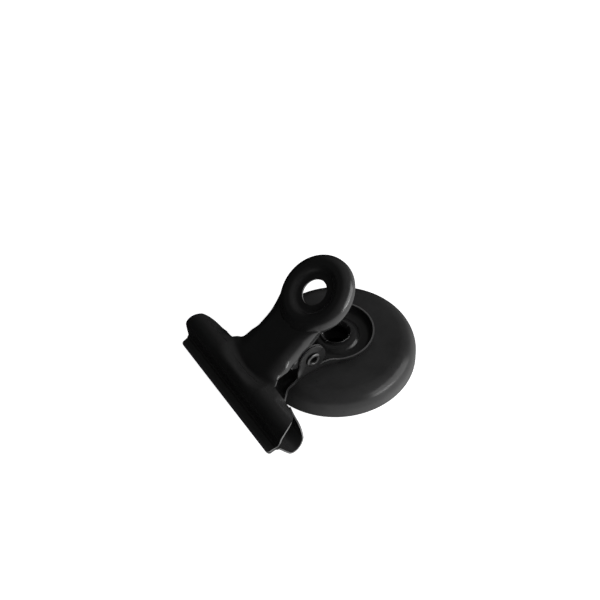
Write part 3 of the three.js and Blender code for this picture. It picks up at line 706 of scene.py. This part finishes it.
magnetCup = makeCup()
ferriteRing = makeFerrite()
magnetRivet = makeRivet()
print("magnet turned")

# ---- hollow pin

pin = {
    "diameter": 3,
    "wall": 0.5,
    "headDiameter": 4.7,
    "headHeight": 0.45,
    "headLine": [                 # base radius, outwards, base height, up
        ("outer", 0, "seat", -0.15),
        ("outer", 0.12, "seat", 0),
        ("head", -0.05, "seat", 0),
        ("head", 0, "seat", 0.06),
        ("head", -0.04, "seat", 0.18),
        ("head", -0.22, "seat", 0.34),
        ("outer", 0.38, "top", 0),
        ("outer", 0.1, "top", 0),
        ("inner", 0.22, "top", -0.06),
        ("inner", 0.06, "top", -0.25),
        ("inner", 0, "top", -0.5),
    ],
    "steps": 72,
}


def makePin():
    # half the section: tube, flared head with a rounded edge and a dished mouth, then mirrored
    outer, seat = pin["diameter"] / 2, outerEar + sheetHalf + contactGap
    bases = {"outer": outer, "inner": outer - pin["wall"], "head": pin["headDiameter"] / 2,
             "seat": seat, "top": seat + pin["headHeight"]}
    end = [[bases[r] + across, bases[y] + up] for r, across, y, up in pin["headLine"]]
    outline = end + [[r, -z] for r, z in reversed(end)]
    centre = (pivot[0], 0, pivot[1])
    return turnedMesh("hollowPin", outline, pin["steps"], along="y", centre=centre)


# ---- torsion spring

spring = {
    "wire": 1.0,
    "meanDiameter": 5.2,
    "turns": 7,
    "pitch": 1.5,
    "leg": 8,
    "endShrink": 0.85,
    "pointsPerTurn": 36,
    "sides": 14,
}


def makeSpring():
    # leg, helix about Y, leg: one centreline in the mouth's frame, then a circle carried along it;
    # on the helix the point is the radius at its angle, on a leg it also runs on along the tangent
    radius = spring["meanDiameter"] / 2
    rest = web + leaf["pivotDrop"] - sheetHalf - contactGap - spring["wire"] / 2
    lean = math.asin(rest / math.hypot(spring["leg"], radius)) - math.atan(radius / spring["leg"])
    start = alpha + lean - math.pi / 2
    sweep = spring["turns"] * 2 * math.pi - 2 * start
    coil, reach = sweep * radius, sweep / (2 * math.pi) * spring["pitch"] / 2
    total = coil + 2 * spring["leg"]
    count = int(total / (2 * math.pi * radius) * spring["pointsPerTurn"])
    along = np.linspace(0, total, count) - spring["leg"]
    share = np.clip(along / coil, 0, 1)
    angle, over = start + share * sweep, along - share * coil
    u = radius * np.cos(angle) - over * np.sin(angle)
    w = radius * np.sin(angle) + over * np.cos(angle)
    y = (2 * share - 1) * reach
    x = pivot[0] + u * math.cos(alpha) + w * math.sin(alpha)
    z = pivot[1] - u * math.sin(alpha) + w * math.cos(alpha)
    line = np.stack([x, y, z], axis=-1)
    forward = np.gradient(line, axis=0)
    forward /= np.linalg.norm(forward, axis=1)[:, None]
    side = np.cross(forward, [0, 1, 0])
    side /= np.linalg.norm(side, axis=1)[:, None]
    up = np.cross(side, forward)
    turn = np.linspace(0, 2 * np.pi, spring["sides"], endpoint=False)
    ring = side[:, None] * np.cos(turn)[None, :, None] + up[:, None] * np.sin(turn)[None, :, None]
    ring, middle = ring * spring["wire"] / 2, line[:, None]
    ends = [middle[i] + ring[i] * size for i, size in
            ((0, 0), (0, spring["endShrink"]), (-1, spring["endShrink"]), (-1, 0))]
    wire = np.concatenate([ends[:2], middle + ring, ends[2:]])
    return newMesh("springWire", [(wire, True)]), reach


hollowPin = makePin()
springWire, coilReach = makeSpring()
print("pin and spring made")

# ---- finishes

# colour, gloss, middle roughness and its spread, bump, and grains to a metre
finishSizes = ("colour", "gloss", "rough", "spread", "bump", "grain")
finish = {
    "leafPaint": ((0.028, 0.028, 0.0282), 0.5, 0.23, 0.03, 0.01, 2600),
    # sheet edges lighter and glossier: partly worn paint, partly a painted highlight
    "edgeWearAndHighlight": ((0.12, 0.12, 0.12), 0.8, 0.34, 0.05, 0.03, 2600),
    "innerPaint": ((0.012, 0.012, 0.0121), 0.5, 0.3, 0.05, 0.03, 2400),
    "cupCoating": ((0.037, 0.037, 0.0373), 0.2, 0.22, 0.04, 0.04, 1500),
    "rivetBlack": ((0.012, 0.012, 0.012), 0.9, 0.25, 0.06, 0.04, 2400),
    # painted shade: near black and matte, for the faces deep in the bores
    "paintedBoreShade": ((0.0006, 0.0006, 0.0006), 0.02, 0.85, 0.05, 0.1, 2400),
    "ferrite": ((0.035, 0.035, 0.037), 0.4, 0.7, 0.12, 0.25, 1800),
    "springSteel": ((0.2, 0.2, 0.21), 0.5, 0.32, 0.08, 0.05, 1800),
}
pattern = {
    "driftGrain": (95, 6, 0.62),      # scale, detail and roughness of each noise
    "sheenGrain": (420, 5, 0.55),
    "sheenEdges": (0.3, 0.7),
    "bumpDetail": (2, 0.5),
    "bumpHeight": 0.0002,
    "tubeToneFrom": (0.019, 0.022),       # metres along X
    "speckScale": 230,
    "speckReach": (0.03, 0.08),
    "speckTone": 0.006,
}


def coating(name, metal=0.0, mottle=0.35, specks=0.0, tubeTone=0.0):
    # tone drifts with a soft noise, roughness with a finer one, and fine grain raises the surface
    sizes = dict(zip(finishSizes, finish[name]))
    material = bpy.data.materials.new(name)
    material.use_nodes = True
    nodes, links = material.node_tree.nodes, material.node_tree.links
    shader = nodes["Principled BSDF"]
    shader.inputs["Metallic"].default_value = metal
    shader.inputs["Specular IOR Level"].default_value = sizes["gloss"]
    place = nodes.new("ShaderNodeTexCoord")

    def noise(scale, detail, rough):
        # a noise over the piece's own coordinates, in metres
        node = nodes.new("ShaderNodeTexNoise")
        node.inputs["Scale"].default_value = scale
        node.inputs["Detail"].default_value = detail
        node.inputs["Roughness"].default_value = rough
        links.new(place.outputs["Object"], node.inputs["Vector"])
        return node.outputs["Fac"]

    def mapped(value, edges, tones=(0, 1)):
        # straight line from the first tone to the second between two edges
        node = nodes.new("ShaderNodeMapRange")
        sockets = ("From Min", "From Max", "To Min", "To Max")
        for socket, number in zip(sockets, (*edges, *tones)):
            node.inputs[socket].default_value = number
        links.new(value, node.inputs["Value"])
        return node.outputs["Result"]

    def blended(share, first, second):
        # one colour towards another by the share, each a socket or a colour
        node = nodes.new("ShaderNodeMix")
        node.data_type = "RGBA"
        links.new(share, node.inputs["Factor"])
        for socket, tone in (("A", first), ("B", second)):
            if isinstance(tone, (tuple, list)):
                node.inputs[socket].default_value = (*tone, 1)
            else:
                links.new(tone, node.inputs[socket])
        return node.outputs["Result"]

    dark, light = ([c * (1 + change) for c in sizes["colour"]] for change in (-mottle, mottle))
    colour = blended(noise(*pattern["driftGrain"]), dark, light)
    if tubeTone:
        # lighter towards the jaw's tube, past a distance along X
        across = nodes.new("ShaderNodeSeparateXYZ")
        links.new(place.outputs["Object"], across.inputs[0])
        colour = blended(mapped(across.outputs["X"], pattern["tubeToneFrom"]), colour, (tubeTone,) * 3)
    if specks:
        dots = nodes.new("ShaderNodeTexVoronoi")
        dots.inputs["Scale"].default_value = pattern["speckScale"]
        links.new(place.outputs["Object"], dots.inputs["Vector"])
        near = mapped(dots.outputs["Distance"], pattern["speckReach"], (specks, 0))
        colour = blended(near, colour, (pattern["speckTone"],) * 3)
    links.new(colour, shader.inputs["Base Color"])
    sheen = (sizes["rough"] - sizes["spread"], sizes["rough"] + sizes["spread"])
    fine = noise(*pattern["sheenGrain"])
    links.new(mapped(fine, pattern["sheenEdges"], sheen), shader.inputs["Roughness"])
    grain = nodes.new("ShaderNodeBump")
    grain.inputs["Strength"].default_value = sizes["bump"]
    grain.inputs["Distance"].default_value = pattern["bumpHeight"]
    links.new(noise(sizes["grain"], *pattern["bumpDetail"]), grain.inputs["Height"])
    links.new(grain.outputs["Normal"], shader.inputs["Normal"])
    return material


leafPaint = coating("leafPaint")
edgeWearAndHighlight = coating("edgeWearAndHighlight")
innerPaint = coating("innerPaint", tubeTone=0.14)
cupCoating = coating("cupCoating", mottle=0.55, specks=0.45)
rivetBlack = coating("rivetBlack")
paintedBoreShade = coating("paintedBoreShade")
ferrite = coating("ferrite", mottle=0.3, specks=0.3)
springSteel = coating("springSteel", metal=1.0, mottle=0.2)

coats = [
    (lowerLeaf, leafPaint, edgeWearAndHighlight, innerPaint), (upperLeaf, leafPaint, edgeWearAndHighlight, innerPaint),
    (magnetCup, cupCoating), (ferriteRing, ferrite, paintedBoreShade),
    (magnetRivet, rivetBlack, paintedBoreShade), (hollowPin, rivetBlack), (springWire, springSteel),
]
for piece, *materials in coats:
    for material in materials:
        piece.data.materials.append(material)
for piece in (magnetCup, ferriteRing, hollowPin):
    finishEdges(piece, brokenEdge, angle=35)

nodeFinish = {
    "lower_leaf": leafPaint, "upper_leaf": leafPaint, "magnet_cup": cupCoating,
    "magnet_ring": ferrite, "magnet_rivet": rivetBlack, "pivot_pin": rivetBlack,
    "torsion_spring": springSteel,
}
for name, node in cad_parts.items():
    node.data.materials.clear()
    node.data.materials.append(nodeFinish[name])
print("finishes mixed")

# ---- bodies

rides = [
    (lowerLeaf, "lower", "lower_leaf", "leaf_paint"),
    (upperLeaf, "upper", "upper_leaf", "leaf_paint"),
    (magnetCup, "lower", "magnet_cup", "cup_coating"),
    (ferriteRing, "lower", "magnet_ring", "ferrite"),
    (magnetRivet, "lower", "magnet_rivet", "rivet_coating"),
    (hollowPin, "lower", "pivot_pin", "rivet_coating"),
]
for piece, body, node, slot in rides:
    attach(piece, body)
    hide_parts(node)
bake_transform(springWire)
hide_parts("torsion_spring")

# ---- camera: fitted to the outlines of the disc, rings and jaw

camera = {
    "elevation": 50.097,
    "roll": 5.713,
    "turn": 209.33,
    "distance": 254.41,
    "focalPixels": 797.0,
    "axisPixel": (300.5, 355.5),
    "originPixel": (336.54, 353.58),
    "imageSize": 600,
    "sensorWidth": 36,
}


def makeCamera():
    # axes of the fitted view, turned from the photo's ground directions into the part's; the camera
    # stands back from the disc's foot by the distance, less the foot's offset in the picture
    el, roll, turn = (math.radians(camera[k]) for k in ("elevation", "roll", "turn"))
    right = (math.cos(roll), -math.sin(roll) * math.sin(el), -math.sin(roll) * math.cos(el))
    up = (math.sin(roll), math.cos(roll) * math.sin(el), math.cos(roll) * math.cos(el))
    back = (0, -math.cos(el), math.sin(el))
    forwardAxis, sideAxis = (math.cos(turn), math.sin(turn)), (-math.sin(turn), math.cos(turn))

    def toPart(axis):
        # turned about Z by the part's turn
        return Vector((axis[0] * forwardAxis[0] + axis[1] * forwardAxis[1],
                       axis[0] * sideAxis[0] + axis[1] * sideAxis[1], axis[2]))

    right, up, back = toPart(right), toPart(up), toPart(back)
    distance = camera["distance"] * mm
    offsetX = distance * (camera["originPixel"][0] - camera["axisPixel"][0]) / camera["focalPixels"]
    offsetY = distance * (camera["originPixel"][1] - camera["axisPixel"][1]) / camera["focalPixels"]
    place = Vector((discCentre * mm, 0, 0)) - right * offsetX + up * offsetY + back * distance
    data = bpy.data.cameras.new("photoView")
    data.sensor_width = camera["sensorWidth"]
    data.lens = camera["focalPixels"] / camera["imageSize"] * camera["sensorWidth"]
    data.shift_x = (camera["imageSize"] / 2 - camera["axisPixel"][0]) / camera["imageSize"]
    data.shift_y = (camera["axisPixel"][1] - camera["imageSize"] / 2) / camera["imageSize"]
    data.clip_start = 0.01
    view = bpy.data.objects.new("photoView", data)
    view.matrix_world = Matrix.Translation(place) @ Matrix((right, up, back)).transposed().to_4x4()
    bpy.context.scene.collection.objects.link(view)
    bpy.context.scene.camera = view
    return right, back


viewRight, viewBack = makeCamera()
levelRight = Vector((viewRight.x, viewRight.y, 0)).normalized()
levelAway = -Vector((viewBack.x, viewBack.y, 0)).normalized()

# ---- floor and light

studio = {
    "floorSize": 6.0,
    "floorGlow": 0.95,
    "glowEdges": (0.0192, 0.024),
    "floorRough": 0.9,
    "floorGloss": 0.1,
    "floorTone": 0.82,
    "shadeTone": 0.001,
    "skyAxis": (0.5, 0.87),           # towards the picture's right and up
    "skyEdges": (-0.1, 0.9),
    "skyTones": (0.008, 0.1),
    "tableAzimuth": -40,
    "tableAcross": (-0.5, 1),
    "tableBelow": (-0.4, 0.1),
    "tableTone": 1.4,
}
# azimuth, elevation, distance, width, height and power; azimuth 0 is the picture's right, 90 away
lamps = {
    "keyLight": (-34, 12, 0.6, 0.36, 0.055, 0.6),
    "softLight": (-15, 22, 0.6, 0.7, 0.4, 3.0),
    "backLight": (78, 53, 0.8, 0.85, 0.75, 0.1),
}
lampTarget = Vector((discCentre * mm, 0, 0.01))


def levelRay(azimuth):
    # cosine of the azimuth to the picture's right and sine away from the camera
    turn = math.radians(azimuth)
    return levelRight * math.cos(turn) + levelAway * math.sin(turn)


def makeLight(name, azimuth, elevation, distance, width, height, power):
    # an area lamp on a ray from the disc, facing it
    rise = math.radians(elevation)
    ray = levelRay(azimuth) * math.cos(rise) + Vector((0, 0, math.sin(rise)))
    data = bpy.data.lights.new(name, "AREA")
    data.shape = "RECTANGLE"
    data.size, data.size_y, data.energy = width, height, power
    lamp = bpy.data.objects.new(name, data)
    lamp.location = lampTarget + ray * distance
    lamp.rotation_euler = ray.to_track_quat("Z", "Y").to_euler()
    bpy.context.scene.collection.objects.link(lamp)


def makeFloor():
    # one square; its tone and glow go from dark to pale with the distance from the disc's axis,
    # because no light gets in under the magnet
    half = studio["floorSize"] / 2
    mesh = bpy.data.meshes.new("floor")
    corners = [(-half, -half, 0), (half, -half, 0), (half, half, 0), (-half, half, 0)]
    mesh.from_pydata(corners, [], [(0, 1, 2, 3)])
    floor = bpy.data.objects.new("floor", mesh)
    bpy.context.scene.collection.objects.link(floor)
    material = bpy.data.materials.new("paleFloor")
    material.use_nodes = True
    shader = material.node_tree.nodes["Principled BSDF"]
    shader.inputs["Roughness"].default_value = studio["floorRough"]
    shader.inputs["Specular IOR Level"].default_value = studio["floorGloss"]
    shader.inputs["Emission Strength"].default_value = studio["floorGlow"]
    nodes, links = material.node_tree.nodes, material.node_tree.links
    place = nodes.new("ShaderNodeTexCoord")
    distance = nodes.new("ShaderNodeVectorMath")
    distance.operation = "DISTANCE"
    distance.inputs[1].default_value = (discCentre * mm, 0, 0)
    links.new(place.outputs["Object"], distance.inputs[0])
    fade = nodes.new("ShaderNodeMapRange")
    for socket, edge in zip(("From Min", "From Max"), studio["glowEdges"]):
        fade.inputs[socket].default_value = edge
    links.new(distance.outputs["Value"], fade.inputs["Value"])
    links.new(fade.outputs["Result"], shader.inputs["Emission Color"])
    pale = nodes.new("ShaderNodeMix")
    pale.data_type = "RGBA"
    pale.inputs["A"].default_value = (*[studio["shadeTone"]] * 3, 1)
    pale.inputs["B"].default_value = (*[studio["floorTone"]] * 3, 1)
    links.new(fade.outputs["Result"], pale.inputs["Factor"])
    links.new(pale.outputs["Result"], shader.inputs["Base Color"])
    mesh.materials.append(material)
    # a plain backdrop: light from below comes from the table side of the room
    floor.visible_glossy = False
    floor.visible_diffuse = False


makeFloor()
for name, sizes in lamps.items():
    makeLight(name, *sizes)


def makeRoom():
    # a dim ceiling that brightens upwards, plus the bright table under the lamps: a smooth step
    # towards its side times a smooth step below the horizon
    world = bpy.data.worlds.new("room")
    world.use_nodes = True
    nodes, links = world.node_tree.nodes, world.node_tree.links
    direction = nodes.new("ShaderNodeTexCoord").outputs["Generated"]

    def towards(axis, edges, tones):
        # smooth step over the direction's share along an axis
        share = nodes.new("ShaderNodeVectorMath")
        share.operation = "DOT_PRODUCT"
        share.inputs[1].default_value = axis
        links.new(direction, share.inputs[0])
        step = nodes.new("ShaderNodeMapRange")
        step.interpolation_type = "SMOOTHSTEP"
        for socket, value in zip(("From Min", "From Max", "To Min", "To Max"), (*edges, *tones)):
            step.inputs[socket].default_value = value
        links.new(share.outputs["Value"], step.inputs["Value"])
        return step.outputs["Result"]

    skyAxis = levelRight * studio["skyAxis"][0] + Vector((0, 0, studio["skyAxis"][1]))
    ceiling = towards(skyAxis, studio["skyEdges"], studio["skyTones"])
    sideways = towards(levelRay(studio["tableAzimuth"]), studio["tableAcross"], (0, 1))
    below = towards((0, 0, -1), studio["tableBelow"], (0, studio["tableTone"]))
    table = nodes.new("ShaderNodeMath")
    table.operation = "MULTIPLY_ADD"
    for socket, value in zip(table.inputs, (sideways, below, ceiling)):
        links.new(value, socket)
    links.new(table.outputs["Value"], nodes["Background"].inputs["Color"])
    bpy.context.scene.world = world


makeRoom()
bpy.context.scene.view_settings.view_transform = "Standard"
print("camera, floor and lights set")

bpy.context.view_layer.update()
